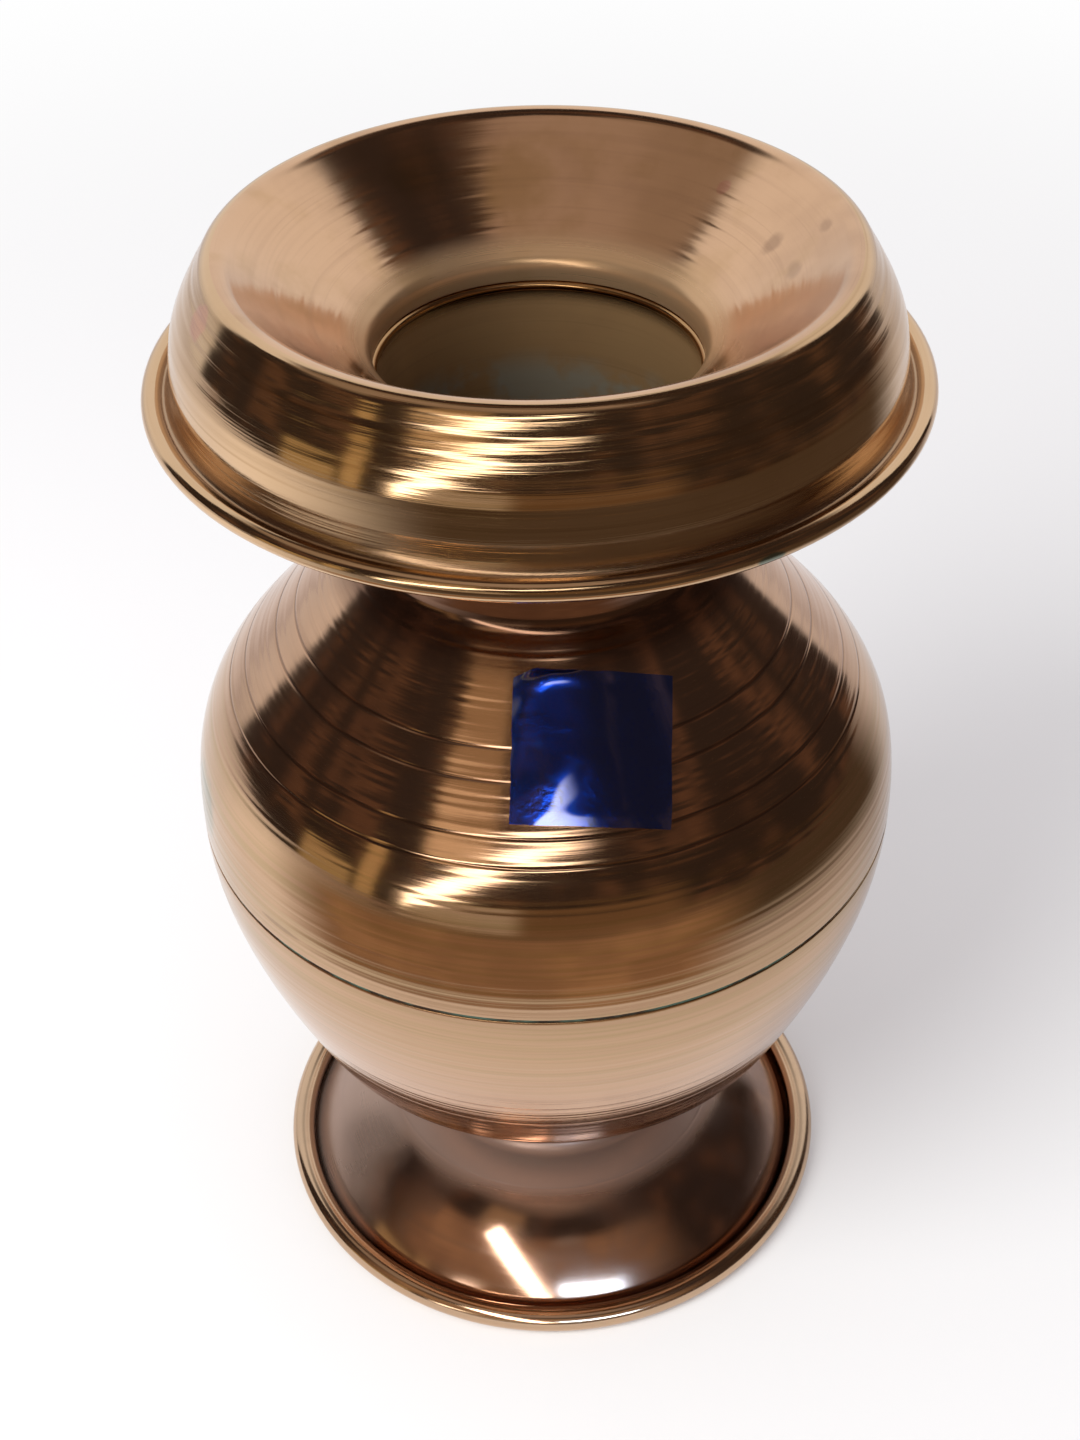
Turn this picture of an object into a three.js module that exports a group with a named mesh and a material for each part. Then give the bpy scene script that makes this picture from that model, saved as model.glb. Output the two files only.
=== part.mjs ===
import * as THREE from 'three';

// A lota: a spun copper-bronze water vessel on a domed foot, with a funnel mouth inside a banded collar.
// Lengths are millimetres. The vessel stands on z = 0, turns about Z, and its front faces -Y.
// Every metal piece but the label is a section turned about the axis. A section is a list of points (radius, height).

// Make of the sections
const SIDES = 40;
const CLEARANCE = 0.3;

// Foot: a stem, a low dome and a flat rim rolled over a wire
const FOOT_SHEET = 0.85;
const FOOT_HEIGHT = 27;
const SEAT_BORE = 11;
const STEM_RADIUS = 18;
const STEM_FILLET = 4.5;
const CROWN_HEIGHT = 13.9;
const CROWN_FALL = THREE.MathUtils.degToRad(12);
const CROWN_FULLNESS = 10;
const DOME_RADIUS = 35.7;
const DOME_FULLNESS = 6;
const DOME_FOOT_FILLET = 1.4;
const FOOT_BEAD_CENTRE = 38.7;
const FOOT_WIRE_RADIUS = 0.55;
const FOOT_CURL = THREE.MathUtils.degToRad(275);
const FOOT_BRAZE_LEG = 1.8;

// Bowl: the lower half of the body, up to the seam at the belly
const BODY_SHEET = 0.9;
const BELLY_RADIUS = 46;
const BOWL_HEIGHT = 44.1;
const BOWL_FLAT = 16.5;
const BOWL_TURN_RADIUS = 36.6;
const BOWL_TURN_HEIGHT = 10.9;
const BOWL_TURN_SLOPE = THREE.MathUtils.degToRad(65.3);
const BOWL_UNDERSIDE_FULLNESS = 8.5;
const BOWL_CORNER_FULLNESS = 5;
const BOWL_SIDE_FULLNESS = 6.9;
const BOWL_BELLY_FULLNESS = 11.4;
const LAP_HEIGHT = 3.4;
const LAP_BEND = 1.6;
const SEAM_BRAZE_HEIGHT = 0.6;

// Upper body: the belly's upper part and a straight shoulder, up to an upright lip round the neck
const SHOULDER_RADIUS = 36;
const SHOULDER_RISE = 24.6;
const SHOULDER_SLOPE = THREE.MathUtils.degToRad(43.3);
const BELLY_FULLNESS = 11.4;
const SHOULDER_FULLNESS = 11.6;
const NECK_FILLET = 3;
const SHOULDER_LIP = 7;
const NECK_BRAZE_LEG = 1.4;

// Neck: a short tube let into the shoulder's opening
const NECK_SHEET = 0.9;
const NECK_BORE = 19.3;
const NECK_INSERT = 6;
const NECK_RISE = 14.4;
const NECK_EDGE_ROUNDING = 0.6;

// Mouth: a shallow funnel whose throat stands on the neck
const RIM_SHEET = 0.9;
const THROAT_LENGTH = 1.2;
const THROAT_ROLL = 2.4;
const FUNNEL_SLOPE = THREE.MathUtils.degToRad(38.8);
const LIP_BORE = 35.3;
const THROAT_BRAZE_HEIGHT = 2.4;
const THROAT_BRAZE_WIDTH = 1;
const LIP_BRAZE_LEG = 2.2;

// Collar: the band outside the mouth, hollowed into a cove and rolled into a beaded brim
const COLLAR_SHEET = 0.8;
const BAND_RADIUS = 42.4;
const BAND_HEIGHT = 14.6;
const BAND_LIP_FULLNESS = 4.3;
const BAND_LIP_SLOPE = THREE.MathUtils.degToRad(64);
const BAND_LOWER_FULLNESS = 6;
const COVE_RADIUS = 1.15;
const COVE_SWEEP = THREE.MathUtils.degToRad(125);
const BRIM_RADIUS = 46;
const BRIM_BEAD_RADIUS = 1.25;
const BRIM_BEAD_DROP = 1.85;
const BRIM_CURL_START = THREE.MathUtils.degToRad(108);
const BRIM_CURL = THREE.MathUtils.degToRad(215);

// Label: a square of blank foil on the shoulder
const LABEL_WIDTH = 18.8;
const LABEL_HEIGHT = 18;
const LABEL_FILM = 0.3;
const LABEL_RADIUS = 31.4;
const LABEL_BEARING = THREE.MathUtils.degToRad(10);
const LABEL_TURN = THREE.MathUtils.degToRad(9.5);
const LABEL_STEPS = 6;

// Heights that follow from the sizes above
const BOWL_BASE = FOOT_HEIGHT + CLEARANCE;
const SEAM_HEIGHT = BOWL_BASE + BOWL_HEIGHT;
const SEAM_HALF = SEAM_BRAZE_HEIGHT / 2;

const COPPER = new THREE.Color(0.72, 0.43, 0.28);
const GOLDEN = new THREE.Color(0.74, 0.51, 0.3);
const BRAZE = new THREE.Color(0.5, 0.4, 0.22);
const FOIL_BLUE = new THREE.Color(0.03, 0.07, 0.42);

function metal(color, roughness) {
  return new THREE.MeshStandardMaterial({ color, roughness, metalness: 1 });
}

function point(radius, height) {
  return new THREE.Vector2(radius, height);
}

// The point at a distance from another, in a direction given as an angle from the outward radius
function step(from, angle, distance) {
  return point(from.x + distance * Math.cos(angle), from.y + distance * Math.sin(angle));
}

// Points along a circle, from one angle to another, both ends included
function arc(centre, radius, start, end, steps) {
  return Array.from({ length: steps + 1 }, (_, i) => step(centre, start + ((end - start) * i) / steps, radius));
}

// The left or right side of a sheet: each point moved square to the line by a thickness, corners mitred
function beside(line, thickness) {
  return line.map((here, i) => {
    const normals = [];
    if (i > 0) normals.push(here.clone().sub(line[i - 1]).normalize());
    if (i < line.length - 1) normals.push(line[i + 1].clone().sub(here).normalize());
    const across = normals.map((along) => point(-along.y, along.x));
    const sum = across.reduce((total, one) => total.add(one), point(0, 0));
    const miter = across.length === 2 ? 2 / sum.lengthSq() : 1;
    return here.clone().addScaledVector(sum, thickness * miter);
  });
}

// A closed section from its outline, turned about the axis with its faces outwards
function turned(outline) {
  const section = THREE.ShapeUtils.isClockWise(outline) ? [...outline].reverse() : [...outline];
  if (section.every((corner) => corner.x > 0)) {
    section.push(section[0].clone());
  } else {
    while (section[0].x > 0 || section[section.length - 1].x > 0) section.push(section.shift());
  }
  const solid = new THREE.LatheGeometry(section, SIDES);
  solid.rotateX(Math.PI / 2);
  return solid;
}

function piece(name, geometry, material) {
  const mesh = new THREE.Mesh(geometry, material);
  mesh.name = name;
  return mesh;
}

// Foot

const beadOuterRadius = FOOT_SHEET + CLEARANCE + FOOT_WIRE_RADIUS;
const beadCentre = point(FOOT_BEAD_CENTRE, beadOuterRadius);

function foot() {
  const filletCentre = point(
    STEM_RADIUS + STEM_FILLET,
    CROWN_HEIGHT + STEM_FILLET * Math.cos(CROWN_FALL),
  );
  const stemFillet = arc(filletCentre, STEM_FILLET, Math.PI, 1.5 * Math.PI - CROWN_FALL, 4);
  const crown = stemFillet[stemFillet.length - 1];
  const rimFilletCentre = point(DOME_RADIUS + DOME_FOOT_FILLET, FOOT_SHEET + DOME_FOOT_FILLET);
  const domeEnd = point(DOME_RADIUS, rimFilletCentre.y);
  const dome = new THREE.CubicBezierCurve(
    crown,
    step(crown, -CROWN_FALL, CROWN_FULLNESS),
    step(domeEnd, Math.PI / 2, DOME_FULLNESS),
    domeEnd,
  ).getPoints(6);
  const rimFillet = arc(rimFilletCentre, DOME_FOOT_FILLET, Math.PI, 1.5 * Math.PI, 2);
  const curl = arc(beadCentre, beadOuterRadius - FOOT_SHEET, -Math.PI / 2, -Math.PI / 2 + FOOT_CURL, 7);
  const outside = [
    point(SEAT_BORE, FOOT_HEIGHT),
    point(STEM_RADIUS, FOOT_HEIGHT),
    ...stemFillet,
    ...dome.slice(1),
    ...rimFillet.slice(1),
    ...curl,
  ];
  const inside = beside(outside, -FOOT_SHEET);
  return turned([...outside, ...inside.reverse()]);
}

function footEdgeWire() {
  return turned(arc(beadCentre, FOOT_WIRE_RADIUS, 0, 2 * Math.PI, 6).slice(1));
}

// A filler fillet in the corner between the stem and the underside of the bowl
function footBraze() {
  const corner = point(STEM_RADIUS + CLEARANCE, BOWL_BASE - CLEARANCE);
  return turned([corner, step(corner, 0, FOOT_BRAZE_LEG), step(corner, -Math.PI / 2, FOOT_BRAZE_LEG)]);
}

// Lower bowl

const bowlTurn = point(BOWL_TURN_RADIUS, BOWL_BASE + BOWL_TURN_HEIGHT);
const ledge = point(BELLY_RADIUS, SEAM_HEIGHT - SEAM_HALF - CLEARANCE);

function lowerBowl() {
  const flatEdge = point(BOWL_FLAT, BOWL_BASE);
  const underside = new THREE.CubicBezierCurve(
    flatEdge,
    step(flatEdge, 0, BOWL_UNDERSIDE_FULLNESS),
    step(bowlTurn, BOWL_TURN_SLOPE + Math.PI, BOWL_CORNER_FULLNESS),
    bowlTurn,
  ).getPoints(5);
  const side = new THREE.CubicBezierCurve(
    bowlTurn,
    step(bowlTurn, BOWL_TURN_SLOPE, BOWL_SIDE_FULLNESS),
    step(ledge, -Math.PI / 2, BOWL_BELLY_FULLNESS),
    ledge,
  ).getPoints(6);
  const outside = [point(0, BOWL_BASE), ...underside, ...side.slice(1)];
  const inside = beside(outside, BODY_SHEET).slice(0, -1);
  const lapRadius = BELLY_RADIUS - BODY_SHEET - CLEARANCE;
  const lapTop = SEAM_HEIGHT + LAP_HEIGHT;
  const lap = [
    point(lapRadius, ledge.y),
    point(lapRadius, lapTop),
    point(lapRadius - BODY_SHEET, lapTop),
    point(lapRadius - BODY_SHEET, ledge.y - BODY_SHEET),
    point(BELLY_RADIUS - BODY_SHEET, ledge.y - BODY_SHEET - LAP_BEND),
  ];
  return turned([...outside, ...lap, ...inside.reverse()]);
}

function seamBraze() {
  const inner = BELLY_RADIUS - BODY_SHEET;
  return turned([
    point(inner, SEAM_HEIGHT - SEAM_HALF),
    point(BELLY_RADIUS, SEAM_HEIGHT - SEAM_HALF),
    point(BELLY_RADIUS, SEAM_HEIGHT + SEAM_HALF),
    point(inner, SEAM_HEIGHT + SEAM_HALF),
  ]);
}

// Upper body

const neckOuter = NECK_BORE + NECK_SHEET;
const lipOuter = neckOuter + CLEARANCE + BODY_SHEET;
const bellyEdge = point(BELLY_RADIUS, SEAM_HEIGHT + SEAM_HALF + CLEARANCE);
const shoulder = point(SHOULDER_RADIUS, SEAM_HEIGHT + SHOULDER_RISE);
const upSlope = Math.PI / 2 + SHOULDER_SLOPE;
const bellyCurve = new THREE.CubicBezierCurve(
  bellyEdge,
  step(bellyEdge, Math.PI / 2, BELLY_FULLNESS),
  step(shoulder, upSlope - Math.PI, SHOULDER_FULLNESS),
  shoulder,
);
const neckFilletRadial = NECK_FILLET * (1 - Math.cos(SHOULDER_SLOPE));
const shoulderTop = step(shoulder, upSlope, (SHOULDER_RADIUS - lipOuter - neckFilletRadial) / Math.sin(SHOULDER_SLOPE));
const shoulderLine = new THREE.LineCurve(shoulder, shoulderTop);
const neckFilletCentre = point(lipOuter + NECK_FILLET, shoulderTop.y + NECK_FILLET * Math.sin(SHOULDER_SLOPE));
const shoulderLipTop = neckFilletCentre.y + SHOULDER_LIP;

function upperBody() {
  const fillet = arc(neckFilletCentre, NECK_FILLET, Math.PI + SHOULDER_SLOPE, Math.PI, 3);
  const outside = [...bellyCurve.getPoints(8), ...fillet, point(lipOuter, shoulderLipTop)];
  return turned([...outside, ...beside(outside, BODY_SHEET).reverse()]);
}

// A filler fillet on the shoulder's lip, against the neck
function neckBraze() {
  const corner = point(neckOuter + CLEARANCE, shoulderLipTop + CLEARANCE);
  return turned([corner, step(corner, 0, BODY_SHEET), step(corner, Math.PI / 2, NECK_BRAZE_LEG)]);
}

// Neck

const neckTop = shoulderLipTop + NECK_RISE;

function neckTube() {
  const foot = shoulderLipTop - NECK_INSERT;
  const roundingCentre = point(NECK_BORE + NECK_EDGE_ROUNDING, neckTop - NECK_EDGE_ROUNDING);
  return turned([
    point(NECK_BORE, foot),
    point(neckOuter, foot),
    point(neckOuter, neckTop),
    ...arc(roundingCentre, NECK_EDGE_ROUNDING, Math.PI / 2, Math.PI, 2),
  ]);
}

// Mouth funnel

const throatOuter = NECK_BORE + RIM_SHEET;
const throatFoot = neckTop + CLEARANCE;
const rollCentre = point(NECK_BORE + THROAT_ROLL, throatFoot + THROAT_LENGTH);
const funnelFoot = step(rollCentre, Math.PI / 2 + FUNNEL_SLOPE, THROAT_ROLL);
const lipHeight = funnelFoot.y + (LIP_BORE - funnelFoot.x) * Math.tan(FUNNEL_SLOPE);
const funnelEdge = LIP_BORE + RIM_SHEET;
const underFunnel = (radius, depth) =>
  lipHeight - depth / Math.cos(FUNNEL_SLOPE) - (LIP_BORE - radius) * Math.tan(FUNNEL_SLOPE);

function mouthFunnel() {
  const rollAbove = arc(rollCentre, THROAT_ROLL, Math.PI, Math.PI / 2 + FUNNEL_SLOPE, 4);
  const rollBelow = arc(rollCentre, THROAT_ROLL - RIM_SHEET, Math.PI / 2 + FUNNEL_SLOPE, Math.PI, 4);
  return turned([
    point(throatOuter, throatFoot),
    point(NECK_BORE, throatFoot),
    ...rollAbove,
    point(LIP_BORE, lipHeight),
    point(funnelEdge, lipHeight),
    point(funnelEdge, underFunnel(funnelEdge, RIM_SHEET)),
    ...rollBelow,
  ]);
}

// A sleeve of filler outside the joint of throat and neck
function throatBraze() {
  const inner = Math.max(throatOuter, neckOuter) + CLEARANCE;
  const outer = inner + THROAT_BRAZE_WIDTH;
  const low = neckTop - THROAT_BRAZE_HEIGHT / 2;
  const high = neckTop + THROAT_BRAZE_HEIGHT / 2;
  return turned([point(inner, low), point(outer, low), point(outer, high), point(inner, high)]);
}

// Rim collar

const collarBore = funnelEdge + CLEARANCE;
const lipOutside = point(collarBore + COLLAR_SHEET, lipHeight);
const bandFoot = point(BAND_RADIUS, lipHeight - BAND_HEIGHT);
const coveCentre = point(BAND_RADIUS + COVE_RADIUS, bandFoot.y);
const brimBeadCentre = point(BRIM_RADIUS - BRIM_BEAD_RADIUS, bandFoot.y - BRIM_BEAD_DROP);

function rimCollar() {
  const band = new THREE.CubicBezierCurve(
    lipOutside,
    step(lipOutside, -BAND_LIP_SLOPE, BAND_LIP_FULLNESS),
    step(bandFoot, Math.PI / 2, BAND_LOWER_FULLNESS),
    bandFoot,
  ).getPoints(5);
  const cove = arc(coveCentre, COVE_RADIUS, Math.PI, Math.PI + COVE_SWEEP, 3);
  const bead = arc(brimBeadCentre, BRIM_BEAD_RADIUS, BRIM_CURL_START, BRIM_CURL_START - BRIM_CURL, 7);
  const outside = [...band, ...cove.slice(1), ...bead];
  const inside = beside(outside, -COLLAR_SHEET);
  inside[0] = point(collarBore, lipHeight);
  return turned([...outside, ...inside.reverse()]);
}

// A filler fillet in the wedge between the funnel and the band, under the lip
function lipBraze() {
  const apex = point(collarBore, underFunnel(collarBore, RIM_SHEET + CLEARANCE) - CLEARANCE);
  return turned([
    apex,
    step(apex, Math.PI + FUNNEL_SLOPE, LIP_BRAZE_LEG),
    step(apex, -BAND_LIP_SLOPE, LIP_BRAZE_LEG),
  ]);
}

// Label

// The label is a flat sheet bent round the shoulder. Across and down are its own coordinates, lift is its height
// above the metal. The shoulder is unrolled as a cone, so that the sheet keeps its size.
function labelPoint(across, down, lift) {
  const x = across * Math.cos(LABEL_TURN) - down * Math.sin(LABEL_TURN);
  const y = across * Math.sin(LABEL_TURN) + down * Math.cos(LABEL_TURN);
  const coneCentre = LABEL_RADIUS / Math.sin(SHOULDER_SLOPE);
  const slant = Math.hypot(x, coneCentre + y);
  const bearing = LABEL_BEARING + Math.atan2(x, coneCentre + y) / Math.sin(SHOULDER_SLOPE);
  const fromShoulder = SHOULDER_RADIUS / Math.sin(SHOULDER_SLOPE) - slant;
  const onLine = fromShoulder >= 0;
  const curve = onLine ? shoulderLine : bellyCurve;
  const share = onLine ? fromShoulder / shoulderLine.getLength() : 1 + fromShoulder / bellyCurve.getLength();
  const foot = curve.getPointAt(share);
  const along = curve.getTangentAt(share);
  const surface = foot.clone().addScaledVector(point(along.y, -along.x), lift);
  return [surface.x * Math.sin(bearing), -surface.x * Math.cos(bearing), surface.y];
}

function labelSticker() {
  const positions = [];
  const faces = [];
  const row = LABEL_STEPS + 1;
  const layer = row * row;
  for (const lift of [CLEARANCE, CLEARANCE + LABEL_FILM]) {
    for (let i = 0; i < row; i += 1) {
      for (let j = 0; j < row; j += 1) {
        const across = LABEL_WIDTH * (j / LABEL_STEPS - 0.5);
        const down = LABEL_HEIGHT * (i / LABEL_STEPS - 0.5);
        positions.push(...labelPoint(across, down, lift));
      }
    }
  }
  const quad = (a, b, c, d) => faces.push(a, b, c, a, c, d);
  for (let i = 0; i < LABEL_STEPS; i += 1) {
    for (let j = 0; j < LABEL_STEPS; j += 1) {
      const corner = i * row + j;
      quad(corner, corner + 1, corner + row + 1, corner + row);
      quad(layer + corner, layer + corner + row, layer + corner + row + 1, layer + corner + 1);
    }
    const last = LABEL_STEPS * row;
    quad(i, layer + i, layer + i + 1, i + 1);
    quad(last + i, last + i + 1, layer + last + i + 1, layer + last + i);
    quad(i * row, (i + 1) * row, layer + (i + 1) * row, layer + i * row);
    quad(i * row + LABEL_STEPS, layer + i * row + LABEL_STEPS,
      layer + (i + 1) * row + LABEL_STEPS, (i + 1) * row + LABEL_STEPS);
  }
  const geometry = new THREE.BufferGeometry();
  geometry.setAttribute('position', new THREE.Float32BufferAttribute(positions, 3));
  geometry.setIndex(faces);
  geometry.computeVertexNormals();
  return geometry;
}

const copperSheet = metal(COPPER, 0.28);
const goldenSheet = metal(GOLDEN, 0.25);
const brazeMetal = metal(BRAZE, 0.5);
const foil = new THREE.MeshStandardMaterial({ color: FOIL_BLUE, roughness: 0.2, metalness: 0.6 });

const group = new THREE.Group();
group.add(
  piece('foot', foot(), copperSheet),
  piece('foot_edge_wire', footEdgeWire(), copperSheet),
  piece('foot_braze', footBraze(), brazeMetal),
  piece('lower_bowl', lowerBowl(), copperSheet),
  piece('seam_braze', seamBraze(), brazeMetal),
  piece('upper_body', upperBody(), copperSheet),
  piece('neck_braze', neckBraze(), brazeMetal),
  piece('neck_tube', neckTube(), copperSheet),
  piece('throat_braze', throatBraze(), brazeMetal),
  piece('mouth_funnel', mouthFunnel(), copperSheet),
  piece('rim_collar', rimCollar(), goldenSheet),
  piece('lip_braze', lipBraze(), brazeMetal),
  piece('label_sticker', labelSticker(), foil),
);

export default group;
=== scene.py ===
import bpy
import numpy as np
from mathutils import Matrix, Vector


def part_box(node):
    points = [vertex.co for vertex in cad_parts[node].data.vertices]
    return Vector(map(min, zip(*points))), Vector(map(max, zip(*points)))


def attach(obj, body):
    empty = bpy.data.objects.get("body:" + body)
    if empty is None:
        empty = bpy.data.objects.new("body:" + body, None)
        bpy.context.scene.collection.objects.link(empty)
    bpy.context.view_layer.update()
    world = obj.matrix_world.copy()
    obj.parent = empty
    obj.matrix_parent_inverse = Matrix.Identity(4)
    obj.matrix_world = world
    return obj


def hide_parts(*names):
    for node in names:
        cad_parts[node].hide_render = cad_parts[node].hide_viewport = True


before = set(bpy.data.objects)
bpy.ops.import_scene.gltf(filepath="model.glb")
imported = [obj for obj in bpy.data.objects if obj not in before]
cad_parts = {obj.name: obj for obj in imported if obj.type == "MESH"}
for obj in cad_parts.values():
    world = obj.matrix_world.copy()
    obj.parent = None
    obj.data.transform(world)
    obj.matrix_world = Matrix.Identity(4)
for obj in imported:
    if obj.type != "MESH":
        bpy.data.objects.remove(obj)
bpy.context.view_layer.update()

# A spun copper-bronze lota on a pale floor. Sizes are millimetres, and become metres when a mesh is made.
# Every metal piece is a section turned about Z. A section is an array of points (radius, height).

MM = 0.001


def low(node):
    """The height of a node's underside, in millimetres."""
    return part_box(node)[0].z / MM


def high(node):
    """The height of a node's top, in millimetres."""
    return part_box(node)[1].z / MM


def reach(node):
    """A turned node's outer radius, in millimetres."""
    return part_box(node)[1].x / MM


# Make of the sections
SIDES = 144
SHARP_ANGLE = 40
EDGE_ROUNDING = 0.22
LEAST_CORNER = 28
CORNER_POINTS = 5
TOOL_STEP = 0.12
WAVE_PITCH = 2.6
WAVE_DEPTH = 0.012
TOOL_FADE = 1.5
PLAIN_STEP = 0.8
FIT_GAP = 0.3
NEARLY_NOTHING = 1e-6

# Tool marks: a seed, and the depth and the pitch of the fine hills
BOWL_TOOLING = (11, 0.009, 0.45)
BODY_TOOLING = (21, 0.013, 0.5)
FUNNEL_TOOLING = (31, 0.007, 0.45)
BAND_TOOLING = (41, 0.04, 0.8)

# Foot
FOOT_SHEET = 0.85
SEAT_BORE = 11
STEM_RADIUS = 18
STEM_FILLET = 2.2
CROWN_HEIGHT = 13.9
CROWN_FALL = 12
CROWN_FULLNESS = 8.5
DOME_RADIUS = 36.75
DOME_FULLNESS = 4.2
DOME_EDGE_SLOPE = 58
DOME_FOOT_FILLET = 0.35
FOOT_BEAD_RADIUS = 1.7
FOOT_WIRE_RADIUS = 0.55
FOOT_CURL = 275
CROWN_RING_RADIUS = 24.2
CROWN_RING_DEPTH = 0.03

# Bowl
BODY_SHEET = 0.9
BOWL_FLAT = 16.5
BOWL_TURN_RADIUS = 36.6
BOWL_TURN_HEIGHT = 10.9
BOWL_TURN_SLOPE = 65.3
BOWL_UNDERSIDE_FULLNESS = 8.5
BOWL_CORNER_FULLNESS = 5
BOWL_SIDE_FULLNESS = 6.9
BELLY_FULLNESS = 11.4
LAP_HEIGHT = 3.4
LAP_BEND = 1.6
FLAT_STEP = 1.5
SEAM_CLOSING = 0.4
SEAM_DEPTH = 0.14
SEAM_OVERLAP = 0.02
SEAM_ROUNDING = 0.1

# Upper body
SHOULDER_RADIUS = 36
SHOULDER_RISE = 24.6
SHOULDER_SLOPE = 43.3
SHOULDER_FULLNESS = 11.6
NECK_FILLET = 3
RING_HEIGHTS = (90.9, 93.5, 98.2, 101.0)
RING_DEPTH = 0.05
RING_WIDTH = 0.24

# Neck and mouth
NECK_BORE = 19.3
NECK_SHEET = 0.9
NECK_EDGE_ROUNDING = 0.6
NECK_EDGE_INSET = 0.15
NECK_STEP = 0.5
THROAT_CLOSING = 0.13
RIM_SHEET = 0.9
THROAT_LENGTH = 1.2
THROAT_ROLL = 2.4
FUNNEL_SLOPE = 38.8
LIP_BORE = 35.3
LIP_CREST = 1.1
FUNNEL_CREST_FULLNESS = (0.7, 0.8)

# Collar
COLLAR_SHEET = 0.8
BAND_RADIUS = 42.4
BAND_HEIGHT = 14.6
BAND_LIP_FULLNESS = 4.3
BAND_LIP_SLOPE = 64
BAND_LOWER_FULLNESS = 6
FLARE_TOP = 1.6
FLARE_FULLNESS = 1.5
VALLEY_RADIUS = 43.45
VALLEY_DEPTH = 1.4
VALLEY_FULLNESS = 0.6
VALLEY_RISE_FULLNESS = 0.2
COLLAR_CREST_FULLNESS = (0.7, 0.6)
BEAD_RISE_ANGLE = 140
BRIM_RADIUS = 46
BRIM_BEAD_RADIUS = 1.25
BRIM_BEAD_DROP = 1.85
BRIM_CURL_END = -107

# Filler metal
FILLER_GAP = 0.05
LIP_WEDGE_HALF = 1.3
LIP_WEDGE_RISE = 0.6

# Label: each edge has a seed and a pitch for its hills, in the order left, right, upper, lower. Each crease
# has a place across and down, a direction in degrees, a height and a half width.
LABEL_WIDTH = 18.8
LABEL_HEIGHT = 18
LABEL_FOIL = 0.12
LABEL_LIFT = 0.05
LABEL_RADIUS = 31.4
LABEL_BEARING = 10
LABEL_TURN = 9.5
LABEL_STEPS = 120
LABEL_CORNER = (2.3, 1.2)
LABEL_WANDER = 0.07
LABEL_EDGES = ((51, 2.2), (52, 3.1), (53, 2.4), (54, 3.6))
LABEL_CREASES = (
    (-4.4, 4.2, 62, 0.13, 2.5),
    (-8, -5, 58, 0.03, 1),
    (-6.4, -7.6, 14, 0.04, 0.9),
    (-8.8, 1, 80, 0.02, 0.8),
    (2.5, 7.6, 4, 0.03, 1.4),
    (6.8, -2, 84, 0.02, 2.2),
    (0.5, -7.8, -5, 0.03, 0.9),
    (-8, 5.5, 35, 0.03, 1.2),
)
CREASE_REACH = 7

# Heights from the frame
FOOT_TOP = high("foot")
BOWL_BASE = low("lower_bowl")
LEDGE = low("seam_braze") - FIT_GAP
BELLY_EDGE = low("upper_body")
SEAM = (LEDGE + BELLY_EDGE) / 2
BELLY_RADIUS = reach("lower_bowl")
SHOULDER_TOP = high("upper_body")
NECK_FOOT = low("neck_tube")
NECK_TOP = high("neck_tube")
THROAT_FOOT = low("mouth_funnel")
LIP = high("rim_collar")
CREST_RADIUS = LIP_BORE + RIM_SHEET + FIT_GAP / 2


# Plane curves

def spot(radius, height):
    """One point of a section."""
    return np.array([radius, height], float)


def toward(start, angle, distance):
    """The point at a distance from another, in a direction in degrees from the outward radius."""
    turn = np.radians(angle)
    return start + distance * np.array([np.cos(turn), np.sin(turn)])


def arc(centre, radius, start, end, count=16):
    """Points of a circle from one angle to another: the centre plus the radius times (cosine, sine)."""
    turn = np.radians(np.linspace(start, end, count))
    return centre + radius * np.column_stack([np.cos(turn), np.sin(turn)])


def bezier(first, first_handle, last_handle, last, count=160):
    """A cubic curve: its four points, weighted by the four terms of ((1 - t) + t) cubed."""
    t = np.linspace(0, 1, count)[:, None]
    s = 1 - t
    return s ** 3 * first + 3 * s ** 2 * t * first_handle + 3 * s * t ** 2 * last_handle + t ** 3 * last


def run_of(line):
    """The length along a line at each of its points, from 0 at the first."""
    return np.concatenate([[0], np.cumsum(np.hypot(*np.diff(line, axis=0).T))])


def spaced(line, spacing):
    """The same line with evenly spaced points, found by their length along it."""
    run = run_of(line)
    wanted = np.linspace(0, run[-1], max(2, int(round(run[-1] / spacing)) + 1))
    return np.column_stack([np.interp(wanted, run, line[:, 0]), np.interp(wanted, run, line[:, 1])])


def left_of(line):
    """The unit normal on the left of a line: its direction at each point, a quarter turn on."""
    along = np.gradient(line, axis=0)
    along /= np.hypot(*along.T)[:, None]
    return np.column_stack([-along[:, 1], along[:, 0]])


def beside(line, distance):
    """A line moved to its left by a distance, square to itself."""
    return line + distance * left_of(line)


def hills(run, pitch, seed):
    """Seeded random heights from -1 to 1, one at each pitch along a length, joined by half cosine waves."""
    heights = np.random.default_rng(seed).uniform(-1, 1, int(run[-1] / pitch) + 2)
    first = (run / pitch).astype(int)
    ease = (1 - np.cos(np.pi * (run / pitch - first))) / 2
    return heights[first] * (1 - ease) + heights[first + 1] * ease


def tooled(line, tooling):
    """A line with the marks of the turning tool: its points move square to it by fine hills, one for each
    feed of the tool, and by wider ones. Both fade out over the ends, so that these stay in place."""
    seed, depth, pitch = tooling
    line = spaced(line, TOOL_STEP)
    run = run_of(line)
    fade = np.clip(np.minimum(run, run[-1] - run) / TOOL_FADE, 0, 1)
    marks = depth * hills(run, pitch, seed) + WAVE_DEPTH * hills(run, WAVE_PITCH, seed + 1)
    return line + (fade * marks)[:, None] * left_of(line)


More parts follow.
